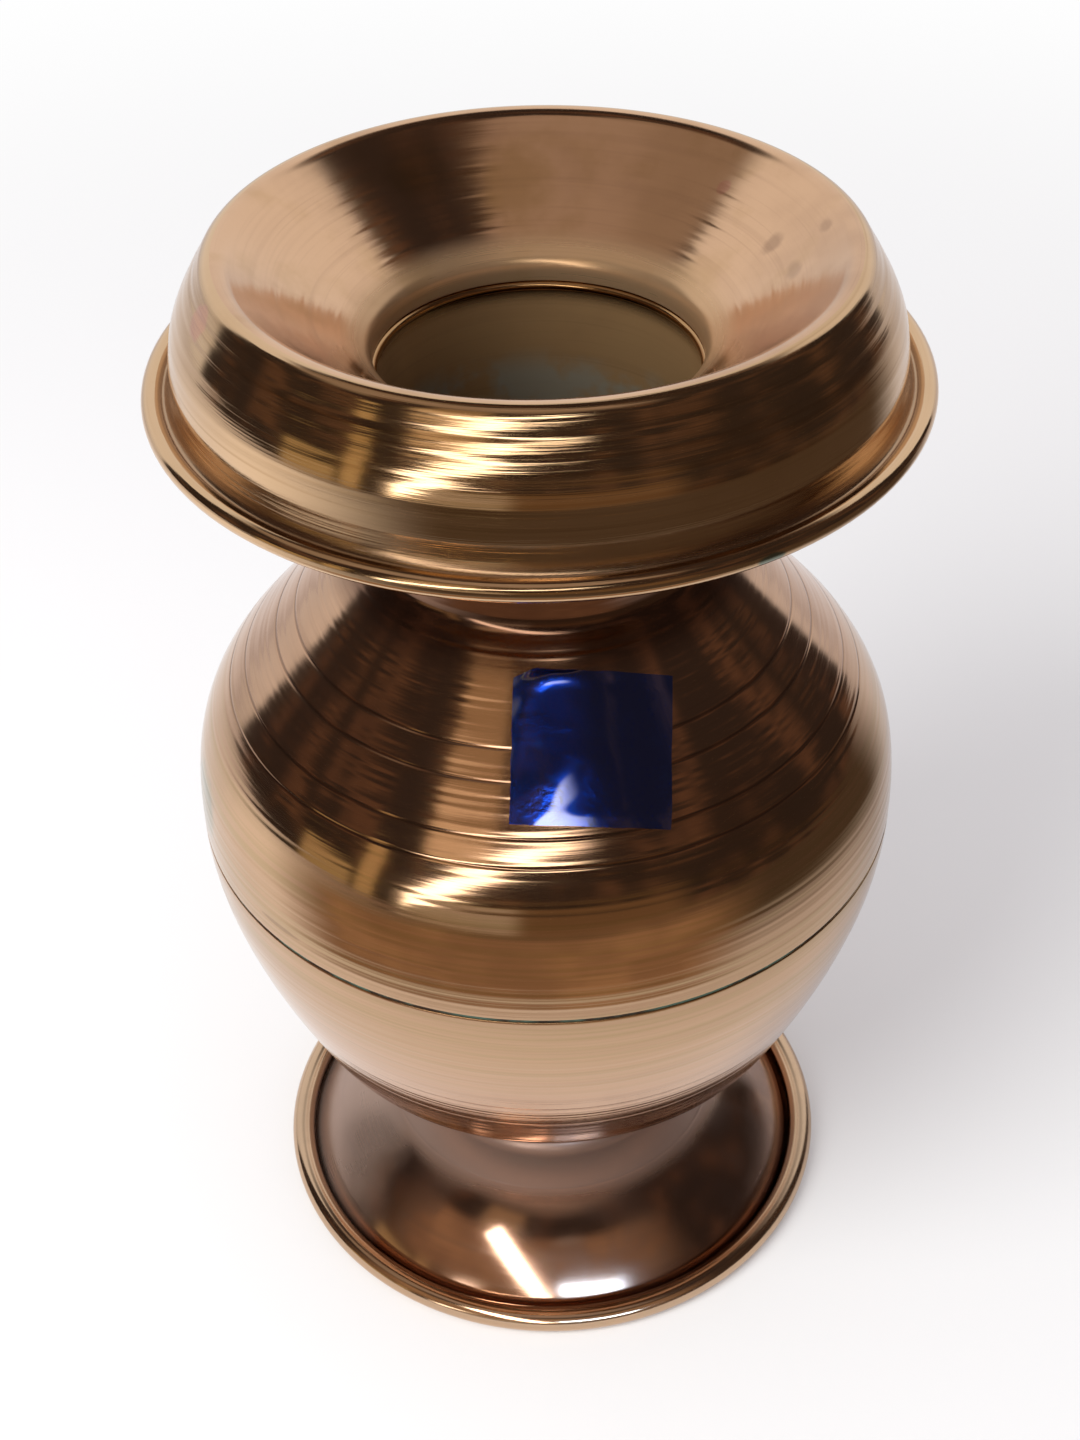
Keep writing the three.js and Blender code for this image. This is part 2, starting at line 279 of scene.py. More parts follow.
def grooved(line, places, axis, depth, width):
    """A line with narrow rings cut in: it moves to its left by a bell curve round each place. The axis says
    whether the places are radii (0) or heights (1)."""
    cuts = np.exp(-((line[:, axis:axis + 1] - np.array(places)) / (width / 2)) ** 2).sum(1)
    return line + (depth * cuts)[:, None] * left_of(line)


def softened(outline, rounding=EDGE_ROUNDING, joint=None):
    """A closed outline with its corners rounded: a corner that turns by more than the least angle becomes a
    parabola from a point before it to a point after it, weighted by the terms of ((1 - t) + t) squared. A
    corner at the radius of a joint stays sharp, because another piece carries on from it."""
    before = np.roll(outline, 1, axis=0)
    after = np.roll(outline, -1, axis=0)
    into = outline - before
    out = after - outline
    into_length = np.hypot(*into.T)[:, None]
    out_length = np.hypot(*out.T)[:, None]
    cosine = ((into / into_length) * (out / out_length)).sum(1)
    corner = (cosine < np.cos(np.radians(LEAST_CORNER))) & (outline[:, 0] > 0)
    if joint is not None:
        corner &= np.abs(outline[:, 0] - joint) > NEARLY_NOTHING
    cut = np.minimum(rounding, 0.45 * np.minimum(into_length, out_length)) * corner[:, None]
    start = (outline - into / into_length * cut)[:, None, :]
    end = (outline + out / out_length * cut)[:, None, :]
    t = np.linspace(0, 1, CORNER_POINTS)[None, :, None]
    rounded = (1 - t) ** 2 * start + 2 * (1 - t) * t * outline[:, None, :] + t ** 2 * end
    kept = corner[:, None] | (np.arange(CORNER_POINTS) == 0)[None, :]
    return rounded[kept]


# Meshes

def mesh_piece(name, points, faces, runs=None):
    """A smooth mesh object from points in millimetres, with a length along its section at each point."""
    mesh = bpy.data.meshes.new(name)
    mesh.from_pydata(points * MM, [], faces)
    mesh.polygons.foreach_set("use_smooth", np.ones(len(mesh.polygons), bool))
    mesh.set_sharp_from_angle(angle=np.radians(SHARP_ANGLE))
    if runs is not None:
        lengths = mesh.attributes.new("run", "FLOAT", "POINT")
        lengths.data.foreach_set("value", (runs * MM).astype(np.float32))
    mesh.update()
    piece = bpy.data.objects.new(name, mesh)
    bpy.context.scene.collection.objects.link(piece)
    return piece


def grid_faces(rows, columns, wrap_rows, wrap_columns):
    """The four-sided faces of a grid of points, joined round in one or both directions."""
    row = np.arange(rows if wrap_rows else rows - 1)
    column = np.arange(columns if wrap_columns else columns - 1)
    i, j = np.meshgrid(row, column, indexing="ij")
    up = (i + 1) % rows
    round_ = (j + 1) % columns
    corners = [i * columns + j, i * columns + round_, up * columns + round_, up * columns + j]
    return np.stack([c.ravel() for c in corners], axis=1)


def turned(name, outline):
    """A section turned about Z: each point (radius, height) goes to radius times the sine and the cosine of
    the bearing. An outline that starts and ends on the axis closes in a fan there, and any other closes on
    itself."""
    area = np.sum(outline[:, 0] * np.roll(outline[:, 1], -1) - np.roll(outline[:, 0], -1) * outline[:, 1])
    outline = outline if area > 0 else outline[::-1]
    poled = outline[0, 0] < NEARLY_NOTHING
    rings = outline[1:-1] if poled else outline
    runs = run_of(outline)[1:-1] if poled else run_of(outline)
    bearing = np.linspace(0, 2 * np.pi, SIDES, endpoint=False)
    radius = np.repeat(rings[:, :1], SIDES, axis=1)
    height = np.repeat(rings[:, 1:], SIDES, axis=1)
    points = np.stack([radius * np.sin(bearing), -radius * np.cos(bearing), height], axis=2).reshape(-1, 3)
    faces = grid_faces(len(rings), SIDES, not poled, True).tolist()
    runs = np.repeat(runs, SIDES)
    if poled:
        first = len(points)
        last = first + 1
        points = np.vstack([points, [0, 0, outline[0, 1]], [0, 0, outline[-1, 1]]])
        runs = np.concatenate([runs, [0, run_of(outline)[-1]]])
        here = np.arange(SIDES)
        there = (here + 1) % SIDES
        top = (len(rings) - 1) * SIDES
        faces += np.stack([np.full(SIDES, first), there, here], axis=1).tolist()
        faces += np.stack([np.full(SIDES, last), top + here, top + there], axis=1).tolist()
    return mesh_piece(name, points, faces, runs)


def finished(piece, node, material):
    """A piece that stands for its CAD node, rides on the vessel's one body and has its material."""
    piece.data.materials.append(material)
    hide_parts(node)
    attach(piece, "root")


# Shader maths

NOISE_ROUGHNESS = 0.55


class Wire:
    """A node socket that Python operators work on: each one adds a Math node."""

    def __init__(self, paint, socket):
        self.paint = paint
        self.socket = socket

    def math(self, operation, *values):
        return self.paint.node("ShaderNodeMath", {"operation": operation}, dict(enumerate(values)))

    def __add__(self, other):
        return self.math("ADD", self, other)

    def __sub__(self, other):
        return self.math("SUBTRACT", self, other)

    def __mul__(self, other):
        return self.math("MULTIPLY", self, other)

    def __truediv__(self, other):
        return self.math("DIVIDE", self, other)

    def __rsub__(self, other):
        return self.math("SUBTRACT", other, self)

    def __pow__(self, other):
        return self.math("POWER", self, other)

    def size(self):
        return self.math("ABSOLUTE", self)

    def atleast(self, other):
        return self.math("MAXIMUM", self, other)

    def rise(self, start, end):
        """0 before start, 1 after end and a smooth step between. With start above end it falls instead."""
        settings = {"interpolation_type": "SMOOTHSTEP"}
        flip = start > end
        values = {"Value": self, "From Min": min(start, end), "From Max": max(start, end)}
        step = self.paint.node("ShaderNodeMapRange", settings, values)
        return 1 - step if flip else step


class Paint:
    """A material's node tree, with the surface's own coordinates in metres."""

    def __init__(self, name):
        self.material = bpy.data.materials.new(name)
        self.material.use_nodes = True
        self.tree = self.material.node_tree
        self.tree.nodes.clear()
        self.output = self.tree.nodes.new("ShaderNodeOutputMaterial")
        self.place = self.node("ShaderNodeTexCoord", output="Object")
        self.x, self.y, self.z = self.parts(self.place)

    def feed(self, socket, value):
        if isinstance(value, Wire):
            self.tree.links.new(value.socket, socket)
        else:
            socket.default_value = value

    def node(self, kind, settings=None, inputs=None, output=0):
        """Adds a node: its settings first, then the values or links of its sockets. Gives one output."""
        made = self.tree.nodes.new(kind)
        for key, value in (settings or {}).items():
            setattr(made, key, value)
        for key, value in (inputs or {}).items():
            self.feed(made.inputs[key], value)
        return Wire(self, made.outputs[output])

    def parts(self, vector):
        made = self.tree.nodes.new("ShaderNodeSeparateXYZ")
        self.feed(made.inputs[0], vector)
        return [Wire(self, socket) for socket in made.outputs]

    def join(self, x, y, z):
        return self.node("ShaderNodeCombineXYZ", inputs={0: x, 1: y, 2: z})

    def mix(self, share, first, second):
        """One colour into another by a share from 0 to 1."""
        made = self.tree.nodes.new("ShaderNodeMix")
        made.data_type = "RGBA"
        self.feed(made.inputs[0], share)
        self.feed(made.inputs[6], first)
        self.feed(made.inputs[7], second)
        return Wire(self, made.outputs[2])

    def noise(self, vector, scale, detail=3):
        inputs = {"Vector": vector, "Scale": scale, "Detail": detail, "Roughness": NOISE_ROUGHNESS}
        return self.node("ShaderNodeTexNoise", inputs=inputs)

    def run(self):
        """The length along the section, in metres."""
        return self.node("ShaderNodeAttribute", {"attribute_name": "run"}, output="Fac")

    def radius(self):
        return (self.x * self.x + self.y * self.y) ** 0.5

    def bearing(self):
        """The angle round the axis in degrees: 0 at the front, positive to the right."""
        return self.x.math("ARCTAN2", self.x, self.y * -1) * np.degrees(1)

    def light_path(self, ray):
        return self.node("ShaderNodeLightPath", output=ray)

    def light(self, tint):
        """A plain emission of a colour."""
        return self.node("ShaderNodeEmission", inputs={"Color": tint, "Strength": 1.0})

    def blend(self, share, first, second):
        """One shader into another by a share from 0 to 1."""
        return self.node("ShaderNodeMixShader", inputs={0: share, 1: first, 2: second})

    def bump(self, height, depth):
        """A normal from a height of 0 to 1 times a depth in metres."""
        return self.node("ShaderNodeBump", inputs={"Height": height, "Distance": depth, "Strength": 1.0})

    def surface(self, **inputs):
        named = {key.replace("_", " "): value for key, value in inputs.items()}
        return self.show(self.node("ShaderNodeBsdfPrincipled", inputs=named))

    def show(self, shader):
        """Puts a shader on the surface."""
        self.tree.links.new(shader.socket, self.output.inputs["Surface"])
        return self.material


def colour(red, green, blue):
    return (red, green, blue, 1.0)


# Colours

COPPER = colour(0.59, 0.37, 0.24)
FUNNEL_COPPER = colour(0.64, 0.405, 0.25)
GOLDEN = colour(0.62, 0.415, 0.245)
FOOT_COPPER = colour(0.48, 0.3, 0.21)
BEAD_COPPER = colour(0.6, 0.42, 0.27)
NECK_COPPER = colour(0.44, 0.26, 0.12)
DARK_COPPER = colour(0.34, 0.19, 0.115)
DARK_GOLDEN = colour(0.42, 0.25, 0.12)
DARK_FOOT_COPPER = colour(0.27, 0.18, 0.14)
DARK_NECK_COPPER = colour(0.25, 0.14, 0.07)
SEAM_GOLD = colour(0.45, 0.31, 0.165)
VERDIGRIS = colour(0.16, 0.2, 0.16)
AMBER = colour(0.42, 0.25, 0.1)
ROSE = colour(0.62, 0.3, 0.22)
UMBER = colour(0.17, 0.09, 0.06)
LILAC = colour(0.33, 0.24, 0.21)
HAZE = colour(0.36, 0.36, 0.3)
FILLER_BROWN = colour(0.05, 0.03, 0.02)
FILLER_GREEN = colour(0.10, 0.17, 0.13)
FOIL_BLUE = colour(0.004, 0.045, 0.44)
WORN_FOIL_BLUE = colour(0.02, 0.12, 0.6)

# Turned lines: cycles of noise per metre round the vessel and along the section
STROKES = (17, 1500)
LINES = (32, 3400)
HAIRS = (85, 9000)
BANDS = (12, 520)

# Masks: each goes from 0 at its first value to 1 at its second. Heights and radii are in metres, bearings
# in degrees, and the dirt's distance from an engraved ring is in millimetres.
# Painted shade under the brim: the heights where the shoulder's top by the neck is painted dark
UNDER_BRIM_SHADE = (0.1055, 0.1095)
SEAM_GLEAM_FROM = (0.048, 0.066)
SEAM_GLEAM_UP_TO = (0.096, 0.084)
RING_DIRT = (0.2, 0.07)
THROAT_WITHIN = (0.0232, 0.0205)
NECK_INSIDE = (0.0199, 0.0196)
NECK_HAZE_BELOW = (0.1258, 0.1208)
NECK_DULL_BELOW = (0.1335, 0.131)
BAND_ABOVE = (0.1348, 0.1365)
COVE_BELOW = (0.1352, 0.1342)
COVE_WITHIN = (0.0441, 0.0434)
CROWN_WITHIN = (0.0268, 0.0236)
CROWN_BELOW = (0.0172, 0.0148)
FOOT_BEAD_FROM = (0.0369, 0.0375)
# Painted reflection of the pale backdrop on the foot's left side: its right and left edges, and how far they
# drift
FOOT_REFLECTION_RIGHT = (-46, -68)
FOOT_REFLECTION_LEFT = (-135, -112)
FOOT_REFLECTION_DRIFT = 30

# Patches of tarnish, dirt and wear: a hue and its share, a bearing in degrees and a height, a half width and
# a half height in millimetres, and for some how ragged and how soft the edge is
PATCH_RADIUS = 40
BODY_PATCHES = (
    (VERDIGRIS, 0.85, -75, 78, 5, 4.5),
    (UMBER, 0.6, -46, 74.2, 3.2, 0.35),
)
FUNNEL_PATCHES = (
    (AMBER, 0.55, -174, 143.5, 6, 3.2, 0.6, 1.2),
    (AMBER, 0.4, -152, 145.5, 5, 2.2, 0.6, 1.2),
    (UMBER, 0.4, 106.6, 144.2, 1.6, 0.9, 0.5, 0.9),
    (UMBER, 0.3, 98.3, 148, 1.3, 0.5, 0.5, 0.9),
    (UMBER, 0.3, 91.3, 144.6, 2.2, 0.6, 0.5, 0.9),
    (ROSE, 0.6, 131.9, 145.7, 1.1, 0.6),
)
COLLAR_PATCHES = (
    (ROSE, 0.6, -70, 146.9, 2.4, 1.6),
    (VERDIGRIS, 0.9, 30.6, 132.9, 1.5, 0.7),
)


# Materials

class TurnedMetal(Paint):
    """Polished metal with fine turned lines. Tarnish gathers in clouds and in bands."""

    def __init__(self, name, tint, shade, cloudy=0.35):
        super().__init__(name)
        self.strokes = self.drawn_out(STROKES)
        self.lines = self.drawn_out(LINES)
        self.hairs = self.drawn_out(HAIRS)
        bands = self.drawn_out(BANDS, detail=3)
        clouds = self.noise(self.place, scale=38, detail=4)
        tarnish = clouds.rise(0.46, 0.74) * cloudy + bands.rise(0.5, 0.75) * 0.22
        self.base = self.mix(tarnish + self.lines.rise(0.55, 0.75) * 0.16, tint, shade)
        self.rough = tarnish * 0.15 + (self.hairs - 0.5) * 0.08

    def drawn_out(self, cycles, detail=2):
        """Noise that is long round the vessel and short along its section."""
        round_, along = cycles
        place = self.join(self.x * round_, self.y * round_, self.run() * along)
        return self.noise(place, scale=1, detail=detail)

    def stain(self, hue, share):
        """Lays a colour over the metal by a share from 0 to 1."""
        self.base = self.mix(share, self.base, hue)
        return self

    def patches(self, rows):
        """Lays patches of colour over the metal."""
        for hue, share, *oval in rows:
            self.stain(hue, self.oval(*oval) * share)
        return self

    def oval(self, bearing, height, wide, tall, ragged=0.35, soft=0.4):
        """1 inside an oval of the surface and 0 outside it, with a ragged edge. The distance from its middle
        is the length of (across, down) in half sizes, plus noise. The half width is measured round the
        vessel at the patch radius."""
        turn = self.bearing() - bearing
        across = turn.math("WRAP", turn, 180, -180) * np.radians(PATCH_RADIUS) / wide
        down = (self.z / MM - height) / tall
        rag = (self.noise(self.place, scale=420) - 0.5) * 2 * ragged
        return ((across * across + down * down) ** 0.5 + rag).rise(1 + soft / 2, 1 - soft / 2)

    def dull(self, share, rough):
        """Roughens the metal by a share of an amount."""
        self.rough = self.rough + share * rough
        return self

    def done(self, roughness, depth, metallic=1.0):
        """The finished material: its polish, the depth of its lines in metres and how metallic it is."""
        height = self.strokes * 0.45 + self.lines * 0.35 + self.hairs * 0.2
        return self.surface(
            Base_Color=self.base, Metallic=metallic, Roughness=self.rough + roughness,
            Normal=self.bump(height, depth))


def filler():
    """Dull filler metal with green tarnish."""
    paint = Paint("green_tarnished_filler")
    grains = paint.noise(paint.place, scale=900)
    green = paint.noise(paint.place, scale=160).rise(0.45, 0.6)
    base = paint.mix(green, FILLER_BROWN, FILLER_GREEN)
    return paint.surface(
        Base_Color=base, Metallic=0.5, Roughness=0.6, Normal=paint.bump(grains, depth=0.00005))


def foil():
    """Blank blue foil: a clear blue lacquer over bright metal, crinkled in places."""
    paint = Paint("blue_foil")
    crinkled = paint.noise(paint.place, scale=240, detail=2).rise(0.42, 0.62)
    crinkles = paint.noise(paint.place, scale=1400) * crinkled
    worn = paint.noise(paint.place, scale=420, detail=4).rise(0.56, 0.72)
    base = paint.mix(worn * 0.35, FOIL_BLUE, WORN_FOIL_BLUE)
    return paint.surface(
        Base_Color=base, Metallic=1.0, Roughness=0.14, Coat_Weight=1.0, Coat_IOR=2.2,
        Normal=paint.bump(crinkles, depth=0.00003))


def body_copper():
    """Copper with a green-grey stain at the left of the belly, a dark scratch near the seam, golden strokes
    on both sides of the seam, dirt in the engraved rings and painted shade on the shoulder's top by the
    neck, under the brim."""
    paint = TurnedMetal("turned_copper", COPPER, DARK_COPPER).patches(BODY_PATCHES)
    # Painted shade: the shoulder's top by the neck, under the brim, is painted dark umber and made rougher
    under_brim_shade = paint.z.rise(*UNDER_BRIM_SHADE)
    near_seam = paint.z.rise(*SEAM_GLEAM_FROM) * paint.z.rise(*SEAM_GLEAM_UP_TO)
    paint.stain(SEAM_GOLD, near_seam * (paint.strokes.rise(0.4, 0.66) * 0.5 + 0.3))
    for ring in RING_HEIGHTS:
        paint.stain(UMBER, (paint.z / MM - ring).size().rise(*RING_DIRT) * 0.6)
    return paint.stain(UMBER, under_brim_shade * 0.9).dull(under_brim_shade, 0.05).done(roughness=0.11, depth=0.000013)


def mouth_copper():
    """Copper with amber stains and brown spots in the funnel, duller towards the throat."""
    paint = TurnedMetal("turned_copper_mouth", FUNNEL_COPPER, DARK_COPPER, cloudy=0.5)
    mottle = paint.noise(paint.place, scale=120, detail=4).rise(0.5, 0.72)
    throat = paint.radius().rise(*THROAT_WITHIN)
    paint.stain(AMBER, mottle * 0.3).patches(FUNNEL_PATCHES)
    paint.stain(AMBER, throat * 0.4).dull(throat, 0.16)
    return paint.done(roughness=0.13, depth=0.000007, metallic=1 - throat * 0.3)


def neck_copper():
    """Brown, tarnished metal. Inside the neck it is dull below the edge, with a grey-green haze further
    down."""
    paint = TurnedMetal("tarnished_copper", NECK_COPPER, DARK_NECK_COPPER, cloudy=0.6)
    cloud = paint.noise(paint.place, scale=130, detail=4)
    inside = paint.radius().rise(*NECK_INSIDE)
    haze = paint.z.rise(*NECK_HAZE_BELOW) * cloud.rise(0.42, 0.6) * inside
    below_edge = paint.z.rise(*NECK_DULL_BELOW) * inside
    paint.stain(HAZE, haze * 0.7).dull(below_edge, 0.2)
    return paint.done(roughness=0.16, depth=0.000008, metallic=1 - below_edge * 0.4)


def collar_copper():
    """Golden copper with dark strokes on the band, a dull cove, a worn pink spot near the lip and a green
    spot on the brim."""
    paint = TurnedMetal("turned_golden_copper", GOLDEN, DARK_GOLDEN, cloudy=0.3)
    strokes = paint.strokes.rise(0.52, 0.7) * paint.z.rise(*BAND_ABOVE)
    cove = paint.z.rise(*COVE_BELOW) * paint.radius().rise(*COVE_WITHIN)
    paint.stain(DARK_GOLDEN, strokes * 0.5)
    paint.stain(UMBER, cove * 0.45).dull(cove, 0.14)
    return paint.patches(COLLAR_PATCHES).done(roughness=0.11, depth=0.00004)


def foot_metal():
    """Browner, smooth metal: dull on the crown under the bowl, mottled on the dome, with a painted
    reflection of the pale backdrop on its left side, and brighter on the bead."""
    paint = TurnedMetal("smooth_copper", FOOT_COPPER, DARK_FOOT_COPPER, cloudy=0.5)
    crown = paint.radius().rise(*CROWN_WITHIN) * paint.z.rise(*CROWN_BELOW)
    mottle = paint.noise(paint.place, scale=75, detail=4).rise(0.45, 0.62)
    bead = paint.radius().rise(*FOOT_BEAD_FROM)
    # Painted reflection: the foot's left side is painted lilac, as the pale backdrop mirrored there, and
    # made rougher and less metallic
    turn = paint.bearing() + (paint.noise(paint.place, scale=60) - 0.5) * FOOT_REFLECTION_DRIFT
    painted_reflection = turn.rise(*FOOT_REFLECTION_RIGHT) * turn.rise(*FOOT_REFLECTION_LEFT) * (1 - bead)
    # Lilac: mottling on the dome, the crown's dull tone and the painted reflection on the left side
    paint.stain(LILAC, (mottle * 0.5).atleast(crown * 0.75).atleast(painted_reflection * 0.65))
    paint.stain(BEAD_COPPER, bead * 0.75)
    paint.dull(crown, 0.24).dull(mottle, 0.05).dull(painted_reflection, 0.14)
    metallic = 1 - (crown * 0.35).atleast(painted_reflection * 0.3)
    return paint.done(roughness=0.13, depth=0.0000016, metallic=metallic)


copper = body_copper()
funnel_copper = mouth_copper()
throat_copper = neck_copper()
golden = collar_copper()
foot_copper = foot_metal()
filler_metal = filler()
blue_foil = foil()


# Pieces

def foot_section():
    """Seat, stem, fillet, crown, dome, rim and curl, and the sheet's thickness inside them."""
    fillet_height = CROWN_HEIGHT + STEM_FILLET * np.cos(np.radians(CROWN_FALL))
    fillet = arc(spot(STEM_RADIUS + STEM_FILLET, fillet_height), STEM_FILLET, 180, 270 - CROWN_FALL)
    crown = fillet[-1]
    rim_centre = spot(DOME_RADIUS + DOME_FOOT_FILLET, FOOT_SHEET + DOME_FOOT_FILLET)
    rim = arc(rim_centre, DOME_FOOT_FILLET, 270 - DOME_EDGE_SLOPE, 270)
    dome_end = rim[0]
    dome = bezier(
        crown, toward(crown, -CROWN_FALL, CROWN_FULLNESS),
        toward(dome_end, 180 - DOME_EDGE_SLOPE, DOME_FULLNESS), dome_end)
    bead_centre = spot(reach("foot") - FOOT_BEAD_RADIUS, FOOT_BEAD_RADIUS)
    curl = arc(bead_centre, FOOT_BEAD_RADIUS - FOOT_SHEET, -90, FOOT_CURL - 90, count=40)
    stem = np.vstack([spot(STEM_RADIUS, FOOT_TOP), fillet])
    crown_ring = grooved(spaced(dome, TOOL_STEP), (CROWN_RING_RADIUS,), 0, -CROWN_RING_DEPTH, RING_WIDTH)
    outside = np.vstack([stem, crown_ring[1:], rim[1:], curl[1:]])
    inside = beside(np.vstack([stem, spaced(dome, PLAIN_STEP)[1:], rim[1:], curl[1:]]), -FOOT_SHEET)
    seat = np.vstack([spot(SEAT_BORE, FOOT_TOP - FOOT_SHEET), spot(SEAT_BORE, FOOT_TOP)])
    inside[0] = spot(STEM_RADIUS - FOOT_SHEET, FOOT_TOP - FOOT_SHEET)
    return np.vstack([seat, outside, inside[::-1]])


def bowl_section():
    """Flat, underside and side up to the seam's ledge, then the lap and the inside."""
    flat_edge = spot(BOWL_FLAT, BOWL_BASE)
    turn = spot(BOWL_TURN_RADIUS, BOWL_BASE + BOWL_TURN_HEIGHT)
    ledge = spot(BELLY_RADIUS, LEDGE + SEAM_CLOSING)
    belly = spot(BELLY_RADIUS, LEDGE)
    underside = bezier(
        flat_edge, toward(flat_edge, 0, BOWL_UNDERSIDE_FULLNESS),
        toward(turn, BOWL_TURN_SLOPE + 180, BOWL_CORNER_FULLNESS), turn)
    side = bezier(
        turn, toward(turn, BOWL_TURN_SLOPE, BOWL_SIDE_FULLNESS), toward(belly, -90, BELLY_FULLNESS), belly)
    flat = spaced(np.vstack([spot(0, BOWL_BASE), flat_edge]), FLAT_STEP)
    wall = np.vstack([underside, side[1:]])
    outside = np.vstack([flat[:-1], tooled(wall, BOWL_TOOLING), ledge])
    plain = np.vstack([flat[:-1], spaced(wall, PLAIN_STEP)])
    inside = beside(plain, BODY_SHEET)[:-1]
    inside[0] = spot(0, BOWL_BASE + BODY_SHEET)
    lap_radius = BELLY_RADIUS - BODY_SHEET - FIT_GAP
    lap_top = SEAM + LAP_HEIGHT
    lap = np.array([
        spot(lap_radius, ledge[1]),
        spot(lap_radius, lap_top),
        spot(lap_radius - BODY_SHEET, lap_top),
        spot(lap_radius - BODY_SHEET, LEDGE - BODY_SHEET),
        spot(BELLY_RADIUS - BODY_SHEET, LEDGE - BODY_SHEET - LAP_BEND),
    ])
    inside = inside[inside[:, 1] < LEDGE - BODY_SHEET - LAP_BEND]
    return np.vstack([outside, lap, inside[::-1]])


def upper_body_line():
    """Belly, straight shoulder, fillet and upright lip, from the seam up. It also gives the belly alone."""
    belly = spot(BELLY_RADIUS, BELLY_EDGE)
    shoulder = spot(SHOULDER_RADIUS, SEAM + SHOULDER_RISE)
    lip_outer = NECK_BORE + NECK_SHEET + FIT_GAP + BODY_SHEET
    climb = 90 + SHOULDER_SLOPE
    fillet_radial = NECK_FILLET * (1 - np.cos(np.radians(SHOULDER_SLOPE)))
    slant = (SHOULDER_RADIUS - lip_outer - fillet_radial) / np.sin(np.radians(SHOULDER_SLOPE))
    top = toward(shoulder, climb, slant)
    centre = spot(lip_outer + NECK_FILLET, top[1] + NECK_FILLET * np.sin(np.radians(SHOULDER_SLOPE)))
    curve = bezier(
        belly, toward(belly, 90, BELLY_FULLNESS),
        toward(shoulder, climb - 180, SHOULDER_FULLNESS), shoulder)
    fillet = arc(centre, NECK_FILLET, 180 + SHOULDER_SLOPE, 180)
    return np.vstack([curve, top, fillet[1:], spot(lip_outer, SHOULDER_TOP)]), curve


def upper_body_section():
    """The upper body's line with its tool marks and engraved rings, and the sheet's inside."""
    line = upper_body_line()[0]
    outside = grooved(tooled(line, BODY_TOOLING), RING_HEIGHTS, 1, RING_DEPTH, RING_WIDTH)
    outside[0] = spot(BELLY_RADIUS, BELLY_EDGE - SEAM_CLOSING)
    inside = beside(spaced(line, PLAIN_STEP), BODY_SHEET)
    return np.vstack([outside, inside[::-1]])


def neck_section():
    """Foot, outside, rounded edge that stands inward a little, and bore."""
    outer = NECK_BORE + NECK_SHEET
    top = NECK_TOP + THROAT_CLOSING
    centre = spot(NECK_BORE + NECK_EDGE_INSET, top - NECK_EDGE_ROUNDING)
    edge = arc(centre, NECK_EDGE_ROUNDING, 90, 255)
    wall = spaced(np.vstack([edge[-1], spot(NECK_BORE, NECK_FOOT)]), NECK_STEP)
    return np.vstack([spot(outer, NECK_FOOT), spot(outer, top), edge, wall[1:]])


def funnel_section():
    """Throat, roll and cone up to the lip, and back below them."""
    roll_centre = spot(NECK_BORE + THROAT_ROLL, THROAT_FOOT + THROAT_LENGTH)
    above = arc(roll_centre, THROAT_ROLL, 180, 90 + FUNNEL_SLOPE, count=14)
    below = arc(roll_centre, THROAT_ROLL - RIM_SHEET, 90 + FUNNEL_SLOPE, 180, count=8)
    cone_top = toward(spot(LIP_BORE, LIP), FUNNEL_SLOPE + 180, LIP_CREST)
    cone = tooled(np.vstack([above[-1], cone_top]), FUNNEL_TOOLING)
    middle = spot(CREST_RADIUS, LIP)
    full_out, full_in = FUNNEL_CREST_FULLNESS
    crest = bezier(
        cone_top, toward(cone_top, FUNNEL_SLOPE, full_out), toward(middle, 180, full_in), middle, count=12)
    low_edge = THROAT_FOOT - THROAT_CLOSING
    foot = np.array([spot(NECK_BORE + RIM_SHEET, low_edge), spot(NECK_BORE, low_edge)])
    return np.vstack([foot, above, cone[1:], crest[1:], spot(CREST_RADIUS, LIP - RIM_SHEET), below])


def collar_section():
    """Lip, band, flared cove and beaded brim, and the sheet's thickness inside them. The cove flares out of
    the band, is level in its valley and rises from there into the bead."""
    lip = spot(LIP_BORE + RIM_SHEET + FIT_GAP + COLLAR_SHEET, LIP)
    base = LIP - BAND_HEIGHT
    foot = spot(BAND_RADIUS, base + FLARE_TOP)
    band = bezier(
        lip, toward(lip, -BAND_LIP_SLOPE, BAND_LIP_FULLNESS), toward(foot, 90, BAND_LOWER_FULLNESS), foot)
    bead_centre = spot(BRIM_RADIUS - BRIM_BEAD_RADIUS, base - BRIM_BEAD_DROP)
    bead = arc(bead_centre, BRIM_BEAD_RADIUS, BEAD_RISE_ANGLE, BRIM_CURL_END, count=44)
    valley = spot(VALLEY_RADIUS, base - VALLEY_DEPTH)
    flare = bezier(
        foot, toward(foot, -90, FLARE_FULLNESS), toward(valley, 180, VALLEY_FULLNESS), valley, count=30)
    rise = bezier(
        valley, toward(valley, 0, VALLEY_RISE_FULLNESS),
        toward(bead[0], BEAD_RISE_ANGLE + 90, VALLEY_RISE_FULLNESS), bead[0], count=8)
    cove = np.vstack([flare, rise[1:-1]])
    inside = beside(np.vstack([spaced(band, PLAIN_STEP), flare[6::6], bead[6:]]), -COLLAR_SHEET)
    inside[0] = spot(CREST_RADIUS, LIP - COLLAR_SHEET)
    band = spaced(band, TOOL_STEP)
    band = band[run_of(band) > LIP_CREST]
    middle = spot(CREST_RADIUS, LIP)
    full_in, full_out = COLLAR_CREST_FULLNESS
    crest = bezier(
        middle, toward(middle, 0, full_in),
        toward(band[0], 180 - BAND_LIP_SLOPE, full_out), band[0], count=16)
    return np.vstack([crest, tooled(band, BAND_TOOLING)[1:], cove[1:], bead, inside[::-1]])


def wire_section():
    """The round wire in the middle of the foot's bead."""
    centre = spot(reach("foot") - FOOT_BEAD_RADIUS, FOOT_BEAD_RADIUS)
    return arc(centre, FOOT_WIRE_RADIUS, 0, 345, count=24)


